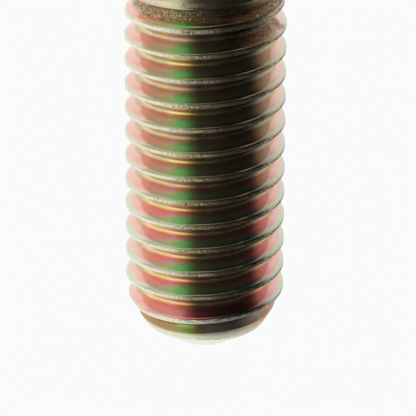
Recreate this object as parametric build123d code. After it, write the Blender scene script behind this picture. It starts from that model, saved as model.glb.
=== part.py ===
from build123d import *
import os
from math import radians, tan

# A hex flange screw, M8 x 1.25, in one piece: a cold-forged head with its flange, and a rolled right-hand thread.
# Millimetres. The origin is the centre of the flange's bearing face, and +Z runs along the axis to the point.

# Length and thread
nominal_length = 22.0          # bearing face to the end of the point
pitch = 1.25
thread_angle = 60.0            # between the two flanks of the groove
major_radius = 3.896
crest_flat = 0.19              # width of the land on each crest
root_flat = 0.18               # width of the floor of the groove
crest_height = 0.98            # a crest's height above the bearing face on the +X side, carried back down the helix

# Shank between the head and the thread
shank_radius = 3.55            # the blank that the thread is rolled on
run_out_start = 2.7            # where the rolling first marks the shank
run_out_end = 5.2              # where the thread reaches its full depth
core_lag = 0.2                 # how much further from the head the groove starts than the crests do
neck_bevel = 0.5               # under the head

# Point
point_length = 2.66            # from the end to the last full crest
nose_length = 1.05             # the blunter cone at the very end
nose_radius = 2.99             # where the two cones meet
end_radius = 1.26              # of the flat at the end

# Flange
flange_radius = 8.85
flange_edge = 1.4              # height of the flange's rim, with its two bevels
flange_slope = 22.0            # of its upper side, from the plane of the bearing face
rim_bevel = 0.25

# Hexagon
across_flats = 13.0
head_height = 8.0              # with the flange
corner_chamfer = 30.0          # of the six corners, from the plane of the top
top_radius = 6.1               # of the flat round face that the chamfer leaves
hex_rounding = 0.25            # of the hexagon's upright edges

# Worked out from the sizes above
half_angle = radians(thread_angle / 2)
groove_width = pitch - crest_flat                        # at the crests
groove_depth = (groove_width - root_flat) / 2 / tan(half_angle)
minor_radius = major_radius - groove_depth
overlap = 0.1                  # how far one shape reaches into or past another that it joins or cuts


def turned(*points):
    """The solid of revolution of a closed outline, its points given as (distance from the axis, height)."""
    return revolve(Plane.XZ * make_face(Polyline(*points, close=True)), Axis.Z)


def shank():
    """The blank that is rolled: plain shank, the swell up to the crests, and the two cones of the point."""
    end = nominal_length
    return turned(
        (0, end),
        (0, -flange_edge),
        (shank_radius, -flange_edge),
        (shank_radius, run_out_start),
        (major_radius, run_out_end),
        (major_radius, end - point_length),
        (nose_radius, end - nose_length),
        (end_radius, end),
    )


def core():
    """The floor of the groove. It rises back to the plain shank where the rolling dies lift."""
    end = nominal_length
    return turned(
        (0, end - nose_length),
        (0, 0),
        (shank_radius, 0),
        (shank_radius, run_out_start + core_lag),
        (minor_radius, run_out_end),
        (minor_radius, end - point_length),
        (nose_radius - overlap, end - nose_length),
    )


def one_turn_of_groove():
    """The V between two crests over one turn, its middle starting at height 0 on the +X side."""
    depth = groove_width / 2 / tan(half_angle)
    outer_width = groove_width / 2 + overlap * tan(half_angle)
    section = make_face(
        Polyline(
            (major_radius - depth, 0),
            (major_radius + overlap, outer_width),
            (major_radius + overlap, -outer_width),
            close=True,
        )
    )
    return sweep(Plane.XZ * section, path=Helix(pitch, pitch, major_radius), is_frenet=True)


def threaded_shank():
    """The shank with the groove cut turn by turn from the neck to past the point, down to its core."""
    turn = one_turn_of_groove()
    start = crest_height + pitch / 2
    count = int((nominal_length - start) / pitch) + 1
    rod = shank()
    for number in range(count):
        rod -= Pos(0, 0, start + number * pitch) * turn
    return rod + core()


def flange():
    """The round flange with its sloping upper side, and the bevel that leads from its face into the shank."""
    seat_height = -flange_edge - (flange_radius - shank_radius) * tan(radians(flange_slope))
    rim_slope = rim_bevel * tan(radians(flange_slope))
    return turned(
        (0, neck_bevel),
        (0, seat_height),
        (shank_radius, seat_height),
        (flange_radius - rim_bevel, -flange_edge - rim_slope),
        (flange_radius, rim_bevel - flange_edge),
        (flange_radius, -rim_bevel),
        (flange_radius - rim_bevel, 0),
        (shank_radius + neck_bevel, 0),
        (shank_radius, neck_bevel),
    )


def hexagon():
    """The six flats that the wrench holds, from inside the flange to the chamfered top."""
    sides = fillet(RegularPolygon(across_flats / 2, 6, major_radius=False).vertices(), hex_rounding)
    prism = extrude(Pos(0, 0, -head_height) * sides, head_height - flange_edge)
    reach = flange_radius
    chamfer_drop = (reach - top_radius) * tan(radians(corner_chamfer))
    cap = turned(
        (0, 0),
        (0, -head_height),
        (top_radius, -head_height),
        (reach, chamfer_drop - head_height),
        (reach, 0),
    )
    return prism & cap


screw = hexagon() + flange() + threaded_shank()

os.makedirs("parts", exist_ok=True)
export_step(screw, "parts/flange_screw.step")
print("flange_screw: volume", round(screw.volume, 1), "mm3 in", len(screw.solids()), "solid, valid:", screw.is_valid)
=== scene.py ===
from math import atan2, ceil, cos, pi, radians, sin, sqrt, tan

import bmesh
import bpy
from mathutils import Matrix, Vector


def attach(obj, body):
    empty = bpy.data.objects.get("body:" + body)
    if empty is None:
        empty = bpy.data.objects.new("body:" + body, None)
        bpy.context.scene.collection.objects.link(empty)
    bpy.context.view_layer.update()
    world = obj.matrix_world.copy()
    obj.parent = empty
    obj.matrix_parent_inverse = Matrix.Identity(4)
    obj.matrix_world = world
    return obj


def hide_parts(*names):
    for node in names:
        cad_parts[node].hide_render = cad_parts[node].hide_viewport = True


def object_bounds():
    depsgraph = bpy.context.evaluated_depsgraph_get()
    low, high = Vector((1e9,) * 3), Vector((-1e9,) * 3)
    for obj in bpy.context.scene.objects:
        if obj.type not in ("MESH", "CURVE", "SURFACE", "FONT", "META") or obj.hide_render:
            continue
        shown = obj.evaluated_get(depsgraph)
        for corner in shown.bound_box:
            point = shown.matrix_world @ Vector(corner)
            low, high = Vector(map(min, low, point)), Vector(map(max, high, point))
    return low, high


bl_info = {
    "name": "Hex flange screw",
    "version": (1, 0, 0),
    "blender": (4, 5, 0),
    "location": "3D View > Sidebar > Screw",
    "description": "Builds a yellow-passivated hexagon flange screw with a rolled thread, and its studio",
    "category": "Mesh",
}

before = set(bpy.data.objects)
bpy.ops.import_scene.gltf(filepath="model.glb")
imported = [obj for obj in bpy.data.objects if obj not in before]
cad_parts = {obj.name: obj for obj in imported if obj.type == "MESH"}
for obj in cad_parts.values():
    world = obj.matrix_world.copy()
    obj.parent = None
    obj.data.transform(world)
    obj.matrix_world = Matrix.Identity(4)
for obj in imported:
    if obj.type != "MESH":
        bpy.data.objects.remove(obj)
CAD_BOX = [list(corner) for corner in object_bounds()]
NODE = "flange_screw"
MM = 0.001


# ---------------------------------------------------------------- node trees

class Wire:
    """A socket in a node tree. Arithmetic on wires adds the Math nodes that work it out."""

    def __init__(self, net, socket):
        self.net = net
        self.socket = socket

    def math(self, operation, *others):
        values = dict(enumerate((self,) + others))
        return self.net.node("ShaderNodeMath", {"operation": operation}, values)[0]

    def __add__(self, other):
        return self.math("ADD", other)

    def __sub__(self, other):
        return self.math("SUBTRACT", other)

    def __mul__(self, other):
        return self.math("MULTIPLY", other)

    def __truediv__(self, other):
        return self.math("DIVIDE", other)

    def __abs__(self):
        return self.math("ABSOLUTE")

    def __rsub__(self, other):
        return self * -1.0 + other

    __radd__ = __add__
    __rmul__ = __mul__

    def least(self, other, blend=0.0):
        """The smaller of two. The corner between them is rounded over the blend distance."""
        return self.math("SMOOTH_MIN", other, blend) if blend else self.math("MINIMUM", other)

    def most(self, other, blend=0.0):
        """The larger of two. The corner between them is rounded over the blend distance."""
        return self.math("SMOOTH_MAX", other, blend) if blend else self.math("MAXIMUM", other)

    def ramp(self, start, end, low=0.0, high=1.0):
        """Goes smoothly from low to high while this value goes from start to end."""
        settings = {"interpolation_type": "SMOOTHSTEP"}
        values = {"Value": self, "From Min": start, "From Max": end, "To Min": low, "To Max": high}
        return self.net.node("ShaderNodeMapRange", settings, values)[0]

    def within(self, start, full, fading, end):
        """Rises from 0 to 1 between start and full, and falls back to 0 between fading and end."""
        return self.ramp(start, full) * self.ramp(end, fading)

    def colours(self, *stops):
        """The colour that (place, colour) stops give at this value."""
        return self.net.node("ShaderNodeValToRGB", {"stops": stops}, {"Fac": self})[0]


class Net:
    """Adds nodes to one tree and joins their sockets."""

    def __init__(self, tree):
        self.tree = tree

    def node(self, kind, settings=None, inputs=None):
        """Adds a node, sets its settings and then its inputs, and gives its outputs."""
        node = self.tree.nodes.new(kind)
        for name, value in (settings or {}).items():
            if name == "stops":
                elements = node.color_ramp.elements
                while len(elements) < len(value):
                    elements.new(1.0)
                for element, (place, tint) in zip(elements, value):
                    element.position = place
                    element.color = (*tint, 1.0)
            else:
                setattr(node, name, value)
        for key, value in (inputs or {}).items():
            socket = node.inputs[key]
            if isinstance(value, Wire):
                self.tree.links.new(value.socket, socket)
            else:
                socket.default_value = value
        return [Wire(self, socket) for socket in node.outputs if socket.enabled]

    def mix(self, share, first, second, blend="MIX"):
        """Two colours mixed, with this share of the second."""
        first, second = (c if isinstance(c, Wire) else (*c, 1.0) for c in (first, second))
        return self.node(
            "ShaderNodeMix",
            {"data_type": "RGBA", "blend_type": blend},
            {0: share, 6: first, 7: second},
        )[0]

    def noise(self, vector, scale, detail, roughness, distortion=0.0):
        """Smooth noise round 0.5."""
        values = {"Vector": vector, "Scale": scale, "Detail": detail, "Roughness": roughness}
        return self.node("ShaderNodeTexNoise", inputs={**values, "Distortion": distortion})[0]

    def vector(self, x, y, z):
        """Three numbers as one vector."""
        return self.node("ShaderNodeCombineXYZ", inputs={0: x, 1: y, 2: z})[0]


def cleared(owner):
    """A net for the node tree of a new material or world, with its first nodes taken out."""
    owner.use_nodes = True
    owner.node_tree.nodes.clear()
    return Net(owner.node_tree)


# ---------------------------------------------------------------- settings

def length(name, description, millimetres):
    """A length, its default given in millimetres."""
    return bpy.props.FloatProperty(
        name=name, description=description, default=millimetres * MM, unit="LENGTH", precision=5
    )


def angle(name, description, degrees):
    """An angle, its default given in degrees."""
    return bpy.props.FloatProperty(
        name=name, description=description, default=radians(degrees), subtype="ANGLE"
    )


def colour(name, description, value):
    """A colour, its default given as red, green and blue."""
    return bpy.props.FloatVectorProperty(
        name=name, description=description, default=value, size=3, subtype="COLOR", min=0.0, max=1.0
    )


class ThreadSettings(bpy.types.PropertyGroup):
    """Sizes of the threaded shank, measured from the bearing face."""

    pitch: length("Pitch", "Distance from crest to crest", 1.25)
    major_radius: length("Major radius", "Radius over the crests", 3.896)
    minor_radius: length("Minor radius", "Radius at the floor of the groove", 3.134)
    crest_flat: length("Crest width", "Width of the land on each crest", 0.19)
    crest_height: length("Crest height", "Height of a crest on the +X side", 0.98)
    shank_radius: length("Shank radius", "Radius of the plain neck", 3.55)
    run_out_start: length("Run-out start", "Height where the thread begins", 2.7)
    run_out_end: length("Run-out end", "Height where the thread is full", 5.2)
    low_end: length("Low end", "Height where the thread's mesh meets the neck", 1.5)
    high_end: length("High end", "Height of the end of the point", 22.0)
    point_length: length("Point length", "Length of the coned point", 2.66)
    nose_length: length("Nose length", "Length of the blunter cone at the end", 1.05)
    nose_radius: length("Nose radius", "Radius where the two cones meet", 2.99)
    end_radius: length("End radius", "Radius of the flat at the end", 1.26)
    seam_depth: length("Seam depth", "Depth of the seam that rolling leaves along each crest", 0.02)
    wear: length("Crest wear", "Depth of the small nicks along the crests", 0.02)
    columns: bpy.props.IntProperty(name="Columns", description="Faces round the shank", default=216, min=24)
    rows: bpy.props.IntProperty(name="Rows", description="Faces along one pitch", default=22, min=8)


class HeadSettings(bpy.types.PropertyGroup):
    """Sizes of the flange and the hexagon."""

    neck_rounding: length("Neck rounding", "Radius of the fillet under the head", 0.5)
    flange_radius: length("Flange radius", "Outer radius of the flange", 8.845)
    flange_edge: length("Flange edge", "Height of the flange's rim", 1.4)
    flange_slope: angle("Flange slope", "Slope of the flange's upper side", 22.0)
    rim_rounding: length("Rim rounding", "Radius of the rim's edges", 0.25)
    across_flats: length("Across flats", "Width of the hexagon", 13.0)
    hex_rounding: length("Hexagon rounding", "Radius of the hexagon's six edges", 0.25)
    foot_rounding: length("Foot rounding", "Radius of the fillet between hexagon and flange", 0.35)
    edge_rounding: length("Edge rounding", "Radius of the edge of the corner chamfer", 0.12)
    head_height: length("Head height", "Height of the head with its flange", 8.0)
    top_radius: length("Top radius", "Radius of the flat face on the top", 6.1)
    corner_chamfer: angle("Corner chamfer", "Slope of the chamfer that turns the six corners", 30.0)


class FinishSettings(bpy.types.PropertyGroup):
    """The yellow passivated zinc."""

    gold: colour("Gold", "The film where it is thin", (0.80, 0.69, 0.40))
    rose: colour("Rose", "The film where it turns red", (0.85, 0.58, 0.44))
    green: colour("Green", "The film where it turns green", (0.66, 0.70, 0.42))
    # Silver shows only on the crests of the +X side; towards the front they are painted duller, as painted
    # shade.
    silver: colour("Silver", "Rubbed crests and edges", (1.0, 0.98, 0.80))


class StudioSettings(bpy.types.PropertyGroup):
    """The camera, the floor and the light."""

    distance: length("Distance", "From the camera to the point that it looks at", 151.54)
    elevation: angle("Elevation", "How far the camera stands towards the head's side", 23.978)
    roll: angle("Roll", "Turn of the camera about its line of sight", 0.1793)
    aim_height: length("Aim height", "Height of the point on the axis that the camera looks at", 15.118)
    lens: bpy.props.FloatProperty(
        name="Lens", description="Focal length", default=267.07, subtype="DISTANCE_CAMERA"
    )
    shift: bpy.props.FloatProperty(name="Shift", description="Sideways shift of the lens", default=0.00746)
    floor_size: length("Floor size", "Width of the floor", 1600.0)
    panel_radius: length("Panel radius", "Distance of the light panels from the screw", 500.0)
    backdrop: colour("Backdrop", "Colour of the space round the set", (0.956, 0.956, 0.965))
    floor: colour("Floor", "Colour of the floor", (0.92, 0.92, 0.92))


# ---------------------------------------------------------------- thread

THREAD_SIZES = (
    "pitch", "major_radius", "minor_radius", "crest_flat", "crest_height", "shank_radius", "run_out_start",
    "run_out_end", "low_end", "high_end", "point_length", "nose_length", "nose_radius", "end_radius",
    "seam_depth", "wear",
)
HALF_ANGLE = radians(30.0)      # between a flank and the plane across the axis
CORE_LAG = 0.2 * MM             # how much further from the head the groove starts than the crests do
CROWDING = 0.55                 # 0 spreads the rows of faces evenly, and 1 draws them together at the crests
MERGE = 0.002 * MM              # points closer than this, where the grid is cut off level, become one

# Distances over which the edges of the rolled surface are rounded
CREST_ROUNDING = 0.02 * MM      # both edges of a crest's land
ROOT_ROUNDING = 0.12 * MM       # between the flanks and the floor of the groove
GROOVE_ROUNDING = 0.03 * MM     # where the groove meets the blank
SWELL_ROUNDING = 0.1 * MM       # between the full blank and the point
NOSE_ROUNDING = 0.2 * MM        # between the two cones of the point


def along_helix(net, cosine, sine, phase, height, around, across):
    """A vector for noise that is drawn out along the thread, with so much grain around and across it."""
    drift = 1.1 / MM
    return net.vector(cosine * around, sine * around, phase * across + height * drift)


def rolled_radius(net, given, height, share):
    """The surface's radius at a height and a share of a turn from the +X side."""
    major, neck = given["major_radius"], given["shank_radius"]
    phase = ((height - given["crest_height"]) / given["pitch"] - share + 0.5).math("FRACT") - 0.5
    from_crest = abs(phase) * given["pitch"]
    from_end = given["high_end"] - height

    # the groove, whose floor rises to the plain neck in the run-out
    flank = major - (from_crest - given["crest_flat"] / 2.0).most(0.0, CREST_ROUNDING) / tan(HALF_ANGLE)
    floor_run = height.ramp(given["run_out_start"] + CORE_LAG, given["run_out_end"] + CORE_LAG)
    floor = neck - floor_run * (neck - given["minor_radius"])

    # the blank: the swell from the neck up to the crests, and the two cones
    run = height.ramp(given["run_out_start"], given["run_out_end"])
    swell = neck + run * (major - neck)
    cone_rise = (major - given["nose_radius"]) / (given["point_length"] - given["nose_length"])
    cone = given["nose_radius"] + (from_end - given["nose_length"]) * cone_rise
    nose_rise = (given["nose_radius"] - given["end_radius"]) / given["nose_length"]
    nose = given["end_radius"] + from_end * nose_rise
    blank = cone.least(nose, NOSE_ROUNDING).least(swell, SWELL_ROUNDING)

    # the seam in the middle of each crest, and the nicks along it
    bearing = share * (2 * pi)
    drawn = along_helix(net, bearing.math("COSINE"), bearing.math("SINE"), phase, height, 18.0, 14.0)
    grain = net.noise(drawn, 1.0, 3.0, 0.6)
    marked = run * from_end.ramp(1.6 * MM, 2.1 * MM)
    middle = from_crest.ramp(0.0, 0.05 * MM, 1.0, 0.0) * marked
    land = from_crest.ramp(0.05 * MM, 0.16 * MM, 1.0, 0.0) * marked
    seam = middle * grain.ramp(0.42, 0.62) * given["seam_depth"]
    nicks = land * grain.ramp(0.35, 0.75) * given["wear"]

    radius = floor.most(flank, ROOT_ROUNDING).least(blank, GROOVE_ROUNDING) - seam - nicks
    return neck + (radius - neck) * height.ramp(given["low_end"], given["run_out_start"])


def thread_tree():
    """Nodes that roll a flat grid into the threaded shank. Its rows follow the helix and keep edges crisp."""
    tree = bpy.data.node_groups.new("rolled_thread", "GeometryNodeTree")
    tree.interface.new_socket("Geometry", in_out="OUTPUT", socket_type="NodeSocketGeometry")
    for name in THREAD_SIZES + ("start", "turns"):
        tree.interface.new_socket(name, in_out="INPUT", socket_type="NodeSocketFloat")
    for name in ("columns", "rows"):
        tree.interface.new_socket(name, in_out="INPUT", socket_type="NodeSocketInt")
    tree.interface.new_socket("finish", in_out="INPUT", socket_type="NodeSocketMaterial")
    net = Net(tree)
    entry = tree.nodes.new("NodeGroupInput")
    given = {socket.name: Wire(net, socket) for socket in entry.outputs if socket.name}

    vertices = {"Vertices X": given["columns"] + 1.0, "Vertices Y": given["rows"] * given["turns"] + 1.0}
    shape = net.node("GeometryNodeMeshGrid", inputs={"Size X": 1.0, "Size Y": 1.0, **vertices})[0]
    place = net.node("ShaderNodeSeparateXYZ", inputs={0: net.node("GeometryNodeInputPosition")[0]})
    share = place[0] + 0.5
    turn = (place[1] + 0.5) * given["turns"]
    crowded = turn - (turn * (2 * pi)).math("SINE") * (CROWDING / (2 * pi))
    height = given["start"] + (crowded + share) * given["pitch"]
    height = height.most(given["low_end"]).least(given["high_end"])

    radius = rolled_radius(net, given, height, share)
    bearing = share * (2 * pi)
    point = net.vector(radius * bearing.math("COSINE"), radius * bearing.math("SINE"), height)
    for kind, values in (
        ("GeometryNodeSetPosition", {"Position": point}),
        ("GeometryNodeMergeByDistance", {"Distance": MERGE}),
        ("GeometryNodeSetShadeSmooth", {}),
        ("GeometryNodeRealizeInstances", {}),
        ("GeometryNodeSetMaterial", {"Material": given["finish"]}),
    ):
        shape = net.node(kind, inputs={"Geometry": shape, **values})[0]
    net.node("NodeGroupOutput", inputs={"Geometry": shape})
    return tree


def threaded_shank(sizes, finish):
    """The threaded shank as a plain mesh, open at both ends."""
    tree = thread_tree()
    turns_below = ceil((sizes.crest_height - sizes.low_end) / sizes.pitch) + 1
    start = sizes.crest_height - turns_below * sizes.pitch
    values = {name: getattr(sizes, name) for name in THREAD_SIZES + ("columns", "rows")}
    values["start"] = start
    values["turns"] = float(ceil((sizes.high_end - start) / sizes.pitch))
    values["finish"] = finish
    carrier = bpy.data.objects.new("thread_carrier", bpy.data.meshes.new("thread_carrier"))
    bpy.context.scene.collection.objects.link(carrier)
    modifier = carrier.modifiers.new("rolled_thread", "NODES")
    modifier.node_group = tree
    for item in tree.interface.items_tree:
        if item.in_out == "INPUT":
            modifier[item.identifier] = values[item.name]
    graph = bpy.context.evaluated_depsgraph_get()
    mesh = bpy.data.meshes.new_from_object(carrier.evaluated_get(graph))
    carrier.modifiers.remove(modifier)
    bpy.data.objects.remove(carrier)
    return mesh


# ---------------------------------------------------------------- head

SUPPORT = 0.04 * MM             # from the end of a rounding's arc to the extra ring that keeps it crisp
CORNER_COLUMNS = 3              # columns of faces on each half of a rounded upright edge
WELD = 0.004 * MM               # joins the shank to the head and to the end of the point


def rounded(corners):
    """A line through (radius, height, rounding, segments) corners, with arcs and close support points."""
    line = []
    for i, (r, z, rounding, segments) in enumerate(corners):
        here = Vector((r, z))
        if not rounding:
            line.append(here)
            continue
        back = (Vector(corners[i - 1][:2]) - here).normalized()
        ahead = (Vector(corners[i + 1][:2]) - here).normalized()
        half = back.angle(ahead) / 2
        reach = rounding / tan(half)
        centre = here + (back + ahead).normalized() * (rounding / sin(half))
        first, last = here + back * reach - centre, here + ahead * reach - centre
        spread = first.angle(last)
        line.append(here + back * (reach + SUPPORT))
        for k in range(segments + 1):
            t = k / segments
            line.append(centre + (first * sin((1 - t) * spread) + last * sin(t * spread)) / sin(spread))
        line.append(here + ahead * (reach + SUPPORT))
    return line


def hexagon_column(step, per_side, head):
    """(bearing, radius) of one column of the hexagon. Columns crowd round each rounded edge."""
    side, k = divmod(step, per_side)
    apothem, rounding = head.across_flats / 2, head.hex_rounding
    arc_centre = (apothem - rounding) / cos(pi / 6)
    tangent = atan2(rounding * sin(pi / 6), arc_centre + rounding * cos(pi / 6))
    from_edge = min(k, per_side - k)
    if from_edge <= CORNER_COLUMNS:
        bearing = tangent * from_edge / CORNER_COLUMNS
        radius = arc_centre * cos(bearing) + sqrt(rounding**2 - (arc_centre * sin(bearing)) ** 2)
    else:
        on_flat = (from_edge - CORNER_COLUMNS) / (per_side / 2 - CORNER_COLUMNS)
        bearing = tangent + (pi / 6 - tangent) * on_flat
        radius = apothem / cos(pi / 6 - bearing)
    if from_edge != k:
        bearing = pi / 3 - bearing
    return side * pi / 3 + bearing, radius


def head_rings(shank, head):
    """Rings of points from the neck over the flange and the hexagon to the middle of its top."""
    columns = shank.columns
    top = -head.head_height
    rings = None
    for step in range(columns):
        plain = 2 * pi * step / columns
        turned, hexagon = hexagon_column(step, columns // 6, head)
        foot = -head.flange_edge - (head.flange_radius - hexagon) * tan(head.flange_slope)
        shoulder = top + (hexagon - head.top_radius) * tan(head.corner_chamfer)
        line = rounded(
            [
                (shank.shank_radius, shank.low_end, 0, 0),
                (shank.shank_radius, 0.0, head.neck_rounding, 6),
                (head.flange_radius, 0.0, head.rim_rounding, 5),
                (head.flange_radius, -head.flange_edge, head.rim_rounding, 4),
                (hexagon, foot, head.foot_rounding, 5),
                (hexagon, shoulder, head.edge_rounding, 4),
                (head.top_radius, top, head.edge_rounding * 2, 4),
                (head.top_radius * 0.5, top, 0, 0),
                (head.top_radius * 0.02, top, 0, 0),
            ]
        )
        rings = rings or [[] for _ in line]
        for ring, point in zip(rings, line):
            # the columns are evenly spread on the neck, and move to the hexagon's over half the rim
            share = min(1.0, max(0.0, -point.y / (0.5 * head.flange_edge)))
            bearing = plain + (turned - plain) * share
            ring.append((point.x * cos(bearing), point.x * sin(bearing), point.y))
    return rings


def circle(radius, height, steps):
    """A level ring of points round the axis."""
    bearings = [2 * pi * k / steps for k in range(steps)]
    return [(radius * cos(a), radius * sin(a), height) for a in bearings]


def skin(mesh, rings, closing_height=None):
    """Adds faces between rings to a bmesh, and a fan over the last one."""
    rows = [[mesh.verts.new(point) for point in ring] for ring in rings]
    for lower, upper in zip(rows, rows[1:]):
        for a, b, c, d in zip(lower, lower[1:] + lower[:1], upper[1:] + upper[:1], upper):
            mesh.faces.new((a, b, c, d)).smooth = True
    if closing_height is not None:
        middle = mesh.verts.new((0.0, 0.0, closing_height))
        for a, b in zip(rows[-1], rows[-1][1:] + rows[-1][:1]):
            mesh.faces.new((a, b, middle)).smooth = True


def screw_mesh(shank, head, zinc):
    """Shank, head and the flat end of the point as one closed mesh."""
    mesh = threaded_shank(shank, zinc)
    shape = bmesh.new()
    shape.from_mesh(mesh)
    skin(shape, head_rings(shank, head), -head.head_height)
    end = [circle(shank.end_radius * share, shank.high_end, shank.columns) for share in (1.0, 0.9, 0.03)]
    skin(shape, end, shank.high_end)
    bmesh.ops.remove_doubles(shape, verts=shape.verts, dist=WELD)
    bmesh.ops.recalc_face_normals(shape, faces=shape.faces)
    open_edges = sum(not edge.is_manifold for edge in shape.edges)
    for face in shape.faces:
        face.material_index = 0
    shape.to_mesh(mesh)
    shape.free()
    mesh.materials.clear()
    mesh.materials.append(zinc)
    if open_edges:
        raise RuntimeError(f"the screw has {open_edges} open edges")
    mesh.name = "screw_body"
    return mesh


# ---------------------------------------------------------------- finish

# The film from a crest (0) to the middle of a groove (0.5), near the head and near the point
BANDS_NEAR_HEAD = (
    (0.05, (0.52, 0.51, 0.32)), (0.18, (0.53, 0.51, 0.33)), (0.24, (0.63, 0.54, 0.40)),
    (0.30, (0.76, 0.43, 0.385)), (0.36, (0.76, 0.46, 0.35)), (0.40, (0.75, 0.58, 0.35)),
    (0.45, (0.87, 0.70, 0.42)), (0.50, (0.82, 0.64, 0.40)),
)
BANDS_NEAR_POINT = (
    (0.05, (0.56, 0.60, 0.40)), (0.18, (0.57, 0.61, 0.43)), (0.24, (0.68, 0.57, 0.50)),
    (0.31, (0.92, 0.40, 0.44)), (0.36, (0.96, 0.46, 0.40)), (0.41, (0.95, 0.63, 0.36)),
    (0.45, (0.98, 0.82, 0.37)), (0.50, (0.97, 0.79, 0.38)),
)
# The film in the run-out, by how dense its grain is: dark brown up to yellow specks, which are painted glints
RUN_OUT_GRAIN_AND_GLINTS = (
    (0.40, (0.16, 0.08, 0.06)), (0.48, (0.36, 0.17, 0.11)), (0.53, (0.32, 0.32, 0.13)),
    (0.62, (0.94, 0.88, 0.44)),
)

# Flanks of the thread
BRONZE = (0.64, 0.51, 0.38)
MAUVE = (0.81, 0.47, 0.56)
LEAF_GREEN = (0.20, 0.60, 0.22)
PALE_GREEN = (0.33, 0.62, 0.30)
BRIGHT_RED = (0.97, 0.36, 0.36)
STRAW = (0.88, 0.80, 0.58)
THINNER = (1.06, 1.02, 1.04)
THICKER = (0.88, 0.90, 0.86)

# Roots of the groove: painted shade, an orange line and painted glints
UMBER = (0.48, 0.35, 0.19)
ORANGE = (0.96, 0.32, 0.09)
COPPER = (0.70, 0.46, 0.37)
YELLOW = (0.96, 0.86, 0.31)
AMBER = (1.0, 0.70, 0.36)

# Sides of the screw, and the brown of the painted shade near the head
SHELL = (0.93, 0.60, 0.54)
PINK = (0.97, 0.54, 0.55)
SALMON = (0.94, 0.55, 0.49)
SAGE = (0.74, 0.72, 0.56)
REED = (0.70, 0.76, 0.58)
BROWN = (0.66, 0.46, 0.24)
OLIVE = (0.72, 0.67, 0.42)
SHADE_BROWN = (0.46, 0.40, 0.28)

# Last threads
ROSE_RED = (0.86, 0.36, 0.36)
WINE = (0.80, 0.24, 0.32)
DARK_WINE = (0.34, 0.18, 0.16)

# Crests, with painted shade and painted glints among their colours
PALE_GOLD = (0.90, 0.80, 0.57)
PEWTER = (0.80, 0.79, 0.76)
CREST_SHADE = (0.20, 0.17, 0.14)
DIRT_AND_SHADE = (0.34, 0.27, 0.16)
BLACK_OLIVE = (0.12, 0.11, 0.085)
HONEY = (0.96, 0.66, 0.30)

# Point
LIGHT_STRAW = (1.0, 0.86, 0.54)
CHESTNUT = (0.50, 0.34, 0.16)
LIME = (0.86, 1.0, 0.44)
MOSS = (0.40, 0.48, 0.14)
TAUPE = (0.58, 0.50, 0.42)
PEACH = (1.0, 0.90, 0.78)
CORAL = (1.0, 0.62, 0.44)
IVORY = (0.95, 0.94, 0.84)
KHAKI = (0.72, 0.70, 0.46)

# Head and neck, between the colours that can be set
WARM_GOLD = (0.82, 0.68, 0.40)
DULL_GOLD = (0.78, 0.66, 0.44)

GRAIN_DEPTH = 0.03 * MM         # of the finest pits and scratches


class Surface:
    """Wires that tell where a point of the screw's surface lies, and how the grain runs there."""

    def __init__(self, net, shank):
        where = net.node("ShaderNodeTexCoord")[3]
        x, y, z = net.node("ShaderNodeSeparateXYZ", inputs={0: where})
        reach = (x * x + y * y + 1e-12).math("SQRT")
        bearing = y.math("ARCTAN2", x) / (2 * pi)
        self.x, self.y, self.z = x, y, z
        self.front = y.ramp(1.0 * MM, -1.0 * MM)
        # 1 on the +X side, 0 on the front and the back, and -1 on the -X side
        self.turned_to = x / reach
        # 0 on a crest, and from there down to -0.5 towards the head and up to 0.5 towards the point
        self.phase = ((z - shank.crest_height) / shank.pitch - bearing + 0.5).math("FRACT") - 0.5
        self.from_crest = abs(self.phase)
        self.rolled = z - shank.run_out_start
        self.to_end = shank.high_end - z

        # noise from the broadest to the finest, and two that are drawn out along the thread
        self.slow = net.noise(where, 0.16 / MM, 2.5, 0.55, 0.6)
        self.wander = net.noise(where, 0.5 / MM, 3.0, 0.6)
        self.grain = net.noise(where, 5.0 / MM, 4.0, 0.7)
        self.speck = net.noise(where, 8.0 / MM, 3.0, 0.75)
        self.fine = net.noise(where, 11.0 / MM, 2.0, 0.7)
        self.dot = net.noise(where, 15.0 / MM, 2.0, 0.6)
        drawn = along_helix(net, x / reach, y / reach, self.phase, z, 9.0, 24.0)
        self.streaks = net.noise(drawn, 1.0, 4.0, 0.65)
        self.cloud = net.noise(drawn, 2.2, 3.0, 0.7)

        # zones along the axis, from the neck to the end: thread, its redder half, last threads, cone and nose
        self.threaded = self.rolled.ramp(0.0, 1.2 * MM)
        self.late = (self.to_end - (self.wander - 0.5) * (5.0 * MM)).ramp(11.0 * MM, 7.0 * MM)
        self.last = self.to_end.ramp(3.5 * MM, 3.1 * MM)
        self.cone = self.to_end.ramp(2.45 * MM, 2.3 * MM)
        self.nose = (self.to_end - (self.speck - 0.5) * (0.3 * MM)).ramp(1.65 * MM, 1.35 * MM)

        # the strip of greener film, the lands of the crests, and the rough zone of the run-out
        self.strip = self.turned_to.within(0.08, 0.20, 0.32, 0.52)
        aside = abs(self.phase - 0.03 - self.last * 0.03 + (self.speck - 0.5) * 0.05) - self.last * 0.04
        self.land = aside.ramp(0.06, 0.085, 1.0, 0.0) * self.threaded * (1.0 - self.nose)
        held_back = x.ramp(0.0, -2.5 * MM) * y.ramp(0.0, -1.0 * MM) * (1.2 * MM)
        limit = (self.rolled + (self.wander - 0.5) * (2.5 * MM) - held_back).ramp(2.0 * MM, 1.4 * MM)
        bitten = x.ramp(-1.0 * MM, -2.0 * MM) * self.phase.ramp(-0.06, -0.10)
        self.raw = limit * self.threaded * self.from_crest.ramp(0.20, 0.30).most(bitten)


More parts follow.
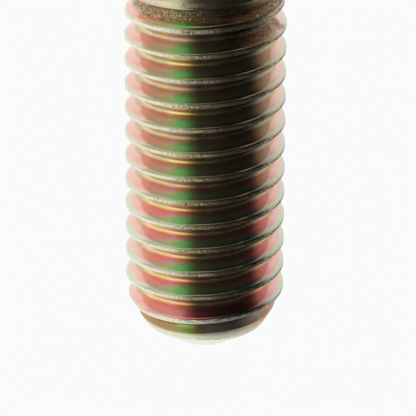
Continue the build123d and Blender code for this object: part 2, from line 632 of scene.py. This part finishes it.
def flank_film(net, on):
    """The film in bands along the thread. It thickens from the crests to the roots and towards the sides."""
    uneven = (on.wander - 0.5) * 0.12 + (on.fine - 0.5) * 0.05 + (on.streaks - 0.5) * 0.16
    thin = on.from_crest - on.from_crest.ramp(0.34, 0.40, 0.10, 0.0) + uneven
    thin = thin + on.last * on.from_crest.ramp(0.34, 0.30) * 0.13
    sideways = (on.turned_to * on.turned_to - 0.08).most(0.0) * 0.435
    band = (thin + sideways).least(0.345).most(thin)
    film = net.mix(on.late, band.colours(*BANDS_NEAR_HEAD), band.colours(*BANDS_NEAR_POINT))

    lean = on.turned_to.within(0.20, 0.36, 0.48, 0.62) * band.ramp(0.24, 0.29) * on.phase.ramp(-0.38, -0.34)
    film = net.mix(lean, film, net.mix(on.late, BRONZE, MAUVE))
    thicker, thinner = (net.mix(1.0, film, tint, "MULTIPLY") for tint in (THICKER, THINNER))
    film = net.mix(on.cloud.ramp(0.30, 0.70), thicker, thinner)

    green = on.strip * (band + on.late * 0.04 + on.last * 0.3).ramp(0.29, 0.19) * on.phase.ramp(-0.07, -0.11)
    film = net.mix(green, film, net.mix(on.cloud.ramp(0.40, 0.70), LEAF_GREEN, PALE_GREEN))
    red = on.turned_to.ramp(-0.45, -0.62) * on.late * band.ramp(0.24, 0.28) * on.from_crest.ramp(0.44, 0.38)
    film = net.mix(red * 0.8, film, BRIGHT_RED)
    return net.mix(on.phase.within(0.06, 0.12, 0.26, 0.36) * 0.6, film, STRAW)


def root_film(net, on, pitch, film):
    """Painted brown shade in the roots, with an orange line and a painted glint in the front ones."""
    # Painted shade: the point-side half of each root darkened to umber, all round except on the +X side.
    brown = on.phase.ramp(0.24, 0.36) * on.turned_to.ramp(0.55, 0.36)
    film = net.mix(brown * 0.75, film, UMBER)
    every_other = (on.z * (pi / pitch) - 1.95).math("SINE").ramp(-0.4, 0.4).most(on.late)
    line = on.strip * every_other * on.phase.within(-0.46, -0.42, -0.37, -0.34)
    film = net.mix(line, film, ORANGE)
    # Painted highlight: a glint along the roots, copper on every other turn near the head, and yellow to
    # amber towards the point.
    glint = on.turned_to.within(-0.25, 0.10, 0.50, 0.62) * on.phase.ramp(-0.405, -0.435)
    return net.mix(glint, film, net.mix(every_other, COPPER, net.mix(on.late, YELLOW, AMBER)))


def side_film(net, on, film):
    """The paler film on the two sides of the screw, and painted shade between the front and the -X side near
    the head.
    """
    to_plus_x = (-2.0 * MM, 2.0 * MM)
    flushed = on.from_crest.ramp(0.08, 0.16) * on.x.ramp(*to_plus_x, on.from_crest.ramp(0.12, 0.22), 1.0)
    greener = (on.wander * 0.6 + on.streaks * 0.4 + on.from_crest * 1.4).ramp(0.76, 0.68)
    flushed = flushed * (1.0 - on.late * greener)
    pale = net.mix(on.late, SHELL, PINK)
    pale = net.mix(on.x.ramp(*to_plus_x), pale, SALMON)
    pale = net.mix(flushed, net.mix(on.late, SAGE, REED), pale)
    pale = net.mix(on.from_crest.ramp(0.27, 0.34), pale, BROWN)
    pale = net.mix(on.from_crest.ramp(0.36, 0.44), pale, OLIVE)
    across = on.turned_to * on.turned_to
    at_side = across.ramp(0.67, 0.95).most(across.ramp(0.50, 0.68) * on.from_crest.ramp(0.22, 0.12))
    film = net.mix(at_side, film, pale)
    # Painted shade: the flanks and roots darkened between the front and the -X side, on the turns near the
    # head.
    head_side_shade = on.x.within(-3.6 * MM, -2.9 * MM, -1.2 * MM, -0.3 * MM) * on.y.ramp(0.0, -1.5 * MM)
    head_side_shade = head_side_shade * on.from_crest.ramp(0.25, 0.40, 0.45, 0.85) * (1.0 - on.late)
    return net.mix(head_side_shade, film, SHADE_BROWN)


def plain_film(on, finish):
    """The film on the head and the neck, in broad clouds."""
    gold, rose, green = tuple(finish.gold), tuple(finish.rose), tuple(finish.green)
    return on.slow.colours(
        (0.30, gold), (0.44, WARM_GOLD), (0.51, rose), (0.57, DULL_GOLD), (0.64, green), (0.72, gold)
    )


def last_threads_film(net, on, film):
    """The redder film in the last grooves before the point."""
    groove = on.last * on.from_crest.ramp(0.36, 0.30) * on.to_end.ramp(2.4 * MM, 2.5 * MM)
    groove = groove * on.turned_to.within(-0.70, -0.50, 0.40, 0.62)
    red = net.mix(on.turned_to.ramp(0.34, 0.24), ROSE_RED, WINE)
    return net.mix(groove, film, net.mix(on.turned_to.within(-0.72, -0.60, -0.22, -0.02), red, DARK_WINE))


def crest_film(net, on, silver, film):
    """The crests' lands, worn bright with dirty pits, with light and shade painted in: silver on the +X side,
    duller towards the front and darker in front towards the -X side, with painted glints along one edge.
    """
    # Painted light and shade: the lands are silver on the +X side, paler gold towards the front, and painted
    # near-black in front towards the -X side.
    rubbed_and_shaded = net.mix(on.turned_to.ramp(0.40, 0.05), silver, PALE_GOLD)
    rubbed_and_shaded = net.mix(on.turned_to.within(-0.80, -0.55, -0.35, -0.05) * on.front, rubbed_and_shaded, CREST_SHADE)
    rubbed_and_shaded = net.mix(on.last * 0.7, rubbed_and_shaded, PEWTER)
    # Painted shade: more dark specks away from the +X side; the noise alone gives the real dirt in the pits.
    painted_shade_by_side = on.turned_to.ramp(0.55, -0.05) * 0.085 + on.turned_to.within(-0.90, -0.60, -0.35, -0.05) * 0.02
    dirt_and_shade = on.speck * 0.5 + on.dot * 0.5 + (on.wander - 0.5) * 0.2 + painted_shade_by_side
    dirt_and_shade = dirt_and_shade.ramp(0.562, 0.632) * (1.0 - on.last * 0.6)
    film = net.mix(on.land, film, net.mix(dirt_and_shade, rubbed_and_shaded, DIRT_AND_SHADE))

    # Painted shade: the crests on the front towards the -X side darkened further, standing for a dark
    # reflection.
    dark = on.turned_to.within(-0.80, -0.60, -0.20, 0.05) * on.phase.within(-0.20, -0.14, 0.10, 0.14)
    film = net.mix(dark * on.threaded * on.front * 0.6, film, BLACK_OLIVE)
    # Painted highlight: honey-coloured glints along the head-side edge of the lands, on the front and the
    # back.
    lip = on.phase.within(-0.10, -0.07, -0.05, -0.02) * on.turned_to.within(-0.30, -0.10, 0.22, 0.36)
    return net.mix(lip * on.speck.ramp(0.50, 0.44) * on.threaded, film, HONEY)


def run_out_film(net, on, film):
    """Rough brown film where the dies first bite, with yellow specks as painted glints, and painted shade
    away from the +X side.
    """
    # Painted glints and shade: the yellow specks stand for glints on the grain, and they grow fewer and
    # darker away from the +X side.
    grain_and_painted_light = on.speck * 0.7 + on.streaks * 0.3 - on.turned_to.ramp(0.45, 0.0) * 0.035
    return net.mix(on.raw * (1.0 - on.land) * 0.85, film, grain_and_painted_light.colours(*RUN_OUT_GRAIN_AND_GLINTS))


def point_film(net, on, film):
    """The first cone in straw and brown, with the green strip and a warmer -X side, and the ivory nose."""
    cone = net.mix(on.to_end.ramp(2.1 * MM, 1.9 * MM), LIGHT_STRAW, CHESTNUT)
    cone = net.mix(on.strip, cone, net.mix(on.to_end.ramp(2.0 * MM, 1.75 * MM), LIME, MOSS))
    warm = net.mix((on.wander + on.turned_to * 0.2).ramp(0.42, 0.34), PEACH, CORAL)
    warm = net.mix(on.turned_to.ramp(-0.45, -0.70), TAUPE, warm)
    cone = net.mix(on.turned_to.ramp(0.10, -0.10), cone, warm)
    film = net.mix(on.cone, film, cone)
    return net.mix(on.nose, film, net.mix(on.speck.ramp(0.44, 0.62), IVORY, KHAKI))


def relief(net, on):
    """(roughness, normal). Lands, run-out and nose are grainy, and the roots and the point are matt."""
    coarse = on.land * on.rolled.ramp(0.3 * MM, 1.3 * MM) * on.turned_to.ramp(0.10, 0.30, 1.0, 0.4)
    coarse = coarse.most(on.raw * 0.7).most(on.nose * 0.36)
    root = on.from_crest.ramp(0.40, 0.45) * (0.6 + on.turned_to.ramp(0.10, -0.10) * 0.8)
    sheltered = (on.phase.ramp(0.14, 0.26) * 0.7).most(root) * on.threaded
    cone = on.cone * (1.5 + on.turned_to.ramp(0.1, -0.2) * (1.0 - on.nose))
    matt = (coarse - on.land * on.turned_to.ramp(0.10, 0.24, 0.6, 0.0)).most(sheltered).most(cone)
    rough = on.fine * 0.06 + matt * 0.18 + on.nose * 0.08 - on.threaded * 0.08 + 0.14

    pits = on.speck.ramp(0.25, 0.75) + on.streaks.ramp(0.30, 0.75) * 0.3 - 0.6
    pitted = coarse + on.land * (0.35 + on.turned_to.ramp(0.40, 0.10) * 0.85)
    height = on.grain * 0.04 + pits * pitted
    bump = net.node("ShaderNodeBump", inputs={"Strength": 0.8, "Distance": GRAIN_DEPTH, "Height": height})[0]
    return rough, bump


def passivated_zinc(shank, finish):
    """Yellow passivated zinc: an iridescent film, silvery along the crests, with pits and fine grain, and
    with light and shade painted into its colour in places.
    """
    material = bpy.data.materials.new("yellow_passivated_zinc")
    net = cleared(material)
    on = Surface(net, shank)
    film = flank_film(net, on)
    film = root_film(net, on, shank.pitch, film)
    film = side_film(net, on, film)
    film = net.mix(on.threaded, plain_film(on, finish), film)
    film = last_threads_film(net, on, film)
    film = crest_film(net, on, tuple(finish.silver), film)
    film = run_out_film(net, on, film)
    film = point_film(net, on, film)
    rough, bump = relief(net, on)
    values = {"Base Color": film, "Metallic": 0.98, "Roughness": rough, "Normal": bump}
    shader = net.node("ShaderNodeBsdfPrincipled", inputs=values)[0]
    net.node("ShaderNodeOutputMaterial", inputs={"Surface": shader})
    return material


# ---------------------------------------------------------------- studio

FLOOR_GAP = 0.02 * MM           # under the head, so that the floor and the head's flat top don't coincide
FLOOR_GLOW = 0.26               # light that the floor gives off by itself, as a share of its colour
SENSOR_WIDTH = 36.0             # of the camera, in millimetres

# Brightness of the panels at bearings from the front, in degrees. The dark gap is in the middle
PANEL_LEVELS = (
    (-180, 0.95), (-114, 0.95), (-106, 0.80), (-76, 0.80), (-62, 0.90), (-54, 0.83), (-47, 0.78), (-40, 0.70),
    (-33, 0.44), (-26, 0.19), (-18, 0.08), (-12, 0.035), (12, 0.024), (30, 0.014), (80, 0.014), (88, 0.06),
    (93, 0.16), (100, 0.34), (108, 0.50), (116, 0.62), (136, 0.78), (180, 0.95),
)
PANEL_STEPS = 96                # faces round the ring
COVER_LIGHT = (0.85, 0.85, 0.84)
BACK_LIGHT = (1.9, 1.9, 1.85)   # on the back half of the cover
# Outline of the panels and the cover: distance from the axis, where not the ring's, and height, in metres
COVER = ((0.3, 0.9), (0.02, 0.9))
UNDERSIDE = ((0.02, -0.7), (0.3, -0.7))
PANEL_HEIGHTS = (-0.6, -0.3, 0.0, 0.4, 0.8)


def panel_white(level):
    """White of this brightness, a little warm where it is bright and a little cool where it is dark."""
    return level, level * (0.995 + 0.005 / (level + 0.03)), level * (0.96 + 0.01 / (level + 0.02))


def place_camera(scene, studio):
    """Looks at the axis from the front and the head's side, with the point downwards."""
    lift, roll = studio.elevation, studio.roll
    look = Vector((0.0, cos(lift), sin(lift)))
    right, up = Vector((-1.0, 0.0, 0.0)), Vector((0.0, sin(lift), -cos(lift)))
    across, along = right * cos(roll) + up * sin(roll), up * cos(roll) - right * sin(roll)
    data = bpy.data.cameras.new("camera")
    data.lens, data.sensor_width, data.shift_x = studio.lens, SENSOR_WIDTH, studio.shift
    data.clip_start, data.clip_end = 0.01, 10.0
    camera = bpy.data.objects.new("camera", data)
    turn = Matrix((across, along, -look)).transposed().to_4x4()
    aim = Vector((0.0, 0.0, studio.aim_height))
    camera.matrix_world = Matrix.Translation(aim - look * studio.distance) @ turn
    scene.collection.objects.link(camera)
    scene.camera = camera


def add_floor(scene, studio):
    """A pale floor that the screw's head stands on. From below it can be seen through."""
    level, half = CAD_BOX[0][2] - FLOOR_GAP, studio.floor_size / 2
    corners = [(x, y, level) for x, y in ((-half, -half), (half, -half), (half, half), (-half, half))]
    mesh = bpy.data.meshes.new("floor")
    mesh.from_pydata(corners, [], [(0, 1, 2, 3)])
    floor = bpy.data.objects.new("floor", mesh)
    material = bpy.data.materials.new("pale_floor")
    net = cleared(material)
    from_below = net.node("ShaderNodeNewGeometry")[6]
    path = net.node("ShaderNodeLightPath")
    is_shadow, is_glossy = path[1], path[3]
    mottle = net.noise(net.node("ShaderNodeTexCoord")[3], 40.0, 3.0, 0.5)
    pale = mottle.colours((0.3, tuple(c * 0.985 for c in studio.floor)), (0.7, tuple(studio.floor)))
    lit = net.node("ShaderNodeBsdfDiffuse", inputs={"Color": pale})[0]
    glow = net.node("ShaderNodeEmission", inputs={"Color": pale, "Strength": FLOOR_GLOW})[0]
    solid = net.node("ShaderNodeAddShader", inputs={0: lit, 1: glow})[0]
    clear = net.node("ShaderNodeBsdfTransparent")[0]
    unseen = from_below.most(is_shadow).most(is_glossy)
    shown = net.node("ShaderNodeMixShader", inputs={0: unseen, 1: solid, 2: clear})[0]
    net.node("ShaderNodeOutputMaterial", inputs={"Surface": shown})
    mesh.materials.append(material)
    scene.collection.objects.link(floor)


def add_panels(scene, studio):
    """A ring of light panels round the set, with a dark gap, under a light cover that is brighter behind."""
    profile = (*UNDERSIDE, *((studio.panel_radius, height) for height in PANEL_HEIGHTS), *COVER)
    shape = bmesh.new()
    skin(shape, [circle(radius, height, PANEL_STEPS) for radius, height in profile])
    mesh = bpy.data.meshes.new("light_panels")
    shape.to_mesh(mesh)
    shape.free()
    panels = bpy.data.objects.new("light_panels", mesh)
    material = bpy.data.materials.new("panel_light")
    net = cleared(material)
    x, y, z = net.node("ShaderNodeSeparateXYZ", inputs={0: net.node("ShaderNodeTexCoord")[3]})
    gap_widens_below = z.ramp(-0.6, -0.15, 0.82, 1.0)
    side = (x * -1.0).math("ARCTAN2", y * -1.0) / (2 * pi) * gap_widens_below + 0.5
    tint = side.colours(*[(degrees / 360 + 0.5, panel_white(level)) for degrees, level in PANEL_LEVELS])
    tint = net.mix(z.ramp(0.80, 0.88) * y.ramp(0.05, 0.15), tint, BACK_LIGHT)
    overhead = (x * x + y * y).math("SQRT").ramp(0.29, 0.10)
    tint = net.mix(overhead, tint, COVER_LIGHT)
    glow = net.node("ShaderNodeEmission", inputs={"Color": tint, "Strength": 1.0})[0]
    net.node("ShaderNodeOutputMaterial", inputs={"Surface": glow})
    mesh.materials.append(material)
    scene.collection.objects.link(panels)
    panels.visible_camera = False


def add_world(scene, studio):
    """An even pale space round the set."""
    world = bpy.data.worlds.new("soft_white")
    net = cleared(world)
    light = net.node("ShaderNodeBackground", inputs={"Color": (*studio.backdrop, 1.0), "Strength": 1.0})[0]
    net.node("ShaderNodeOutputWorld", inputs={"Surface": light})
    scene.world = world


# ---------------------------------------------------------------- operators

class SCREW_OT_screw(bpy.types.Operator):
    """Builds the screw as one closed piece"""

    bl_idname = "screw.screw"
    bl_label = "Screw"

    def execute(self, context):
        scene = context.scene
        zinc = passivated_zinc(scene.screw_thread, scene.screw_finish)
        mesh = screw_mesh(scene.screw_thread, scene.screw_head, zinc)
        body = bpy.data.objects.new("screw_body", mesh)
        scene.collection.objects.link(body)
        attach(body, "root")
        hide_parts(NODE)
        return {"FINISHED"}


class SCREW_OT_studio(bpy.types.Operator):
    """Sets the camera, the floor, the light panels and the world"""

    bl_idname = "screw.studio"
    bl_label = "Studio"

    def execute(self, context):
        scene, studio = context.scene, context.scene.screw_studio
        place_camera(scene, studio)
        add_floor(scene, studio)
        add_panels(scene, studio)
        add_world(scene, studio)
        scene.view_settings.view_transform = "Standard"
        return {"FINISHED"}


class SCREW_PT_panel(bpy.types.Panel):
    """Lists the sizes and the operators in the sidebar"""

    bl_idname = "SCREW_PT_panel"
    bl_label = "Hex flange screw"
    bl_space_type = "VIEW_3D"
    bl_region_type = "UI"
    bl_category = "Screw"

    def draw(self, context):
        operators = {"screw_finish": SCREW_OT_screw, "screw_studio": SCREW_OT_studio}
        for name in GROUPS:
            group = getattr(context.scene, name)
            box = self.layout.box()
            for key in group.bl_rna.properties.keys():
                if key not in ("rna_type", "name"):
                    box.prop(group, key)
            if name in operators:
                self.layout.operator(operators[name].bl_idname)


GROUPS = {
    "screw_thread": ThreadSettings,
    "screw_head": HeadSettings,
    "screw_finish": FinishSettings,
    "screw_studio": StudioSettings,
}
CLASSES = (*GROUPS.values(), SCREW_OT_screw, SCREW_OT_studio, SCREW_PT_panel)


def register():
    """Registers the classes, and gives the scene its settings."""
    for item in CLASSES:
        bpy.utils.register_class(item)
    for name, group in GROUPS.items():
        setattr(bpy.types.Scene, name, bpy.props.PointerProperty(type=group))


def unregister():
    """Takes the settings and the classes away again."""
    for name in GROUPS:
        delattr(bpy.types.Scene, name)
    for item in reversed(CLASSES):
        bpy.utils.unregister_class(item)


def main():
    """Builds the screw and its studio."""
    register()
    bpy.ops.screw.screw()
    bpy.ops.screw.studio()


if __name__ == "__main__":
    main()
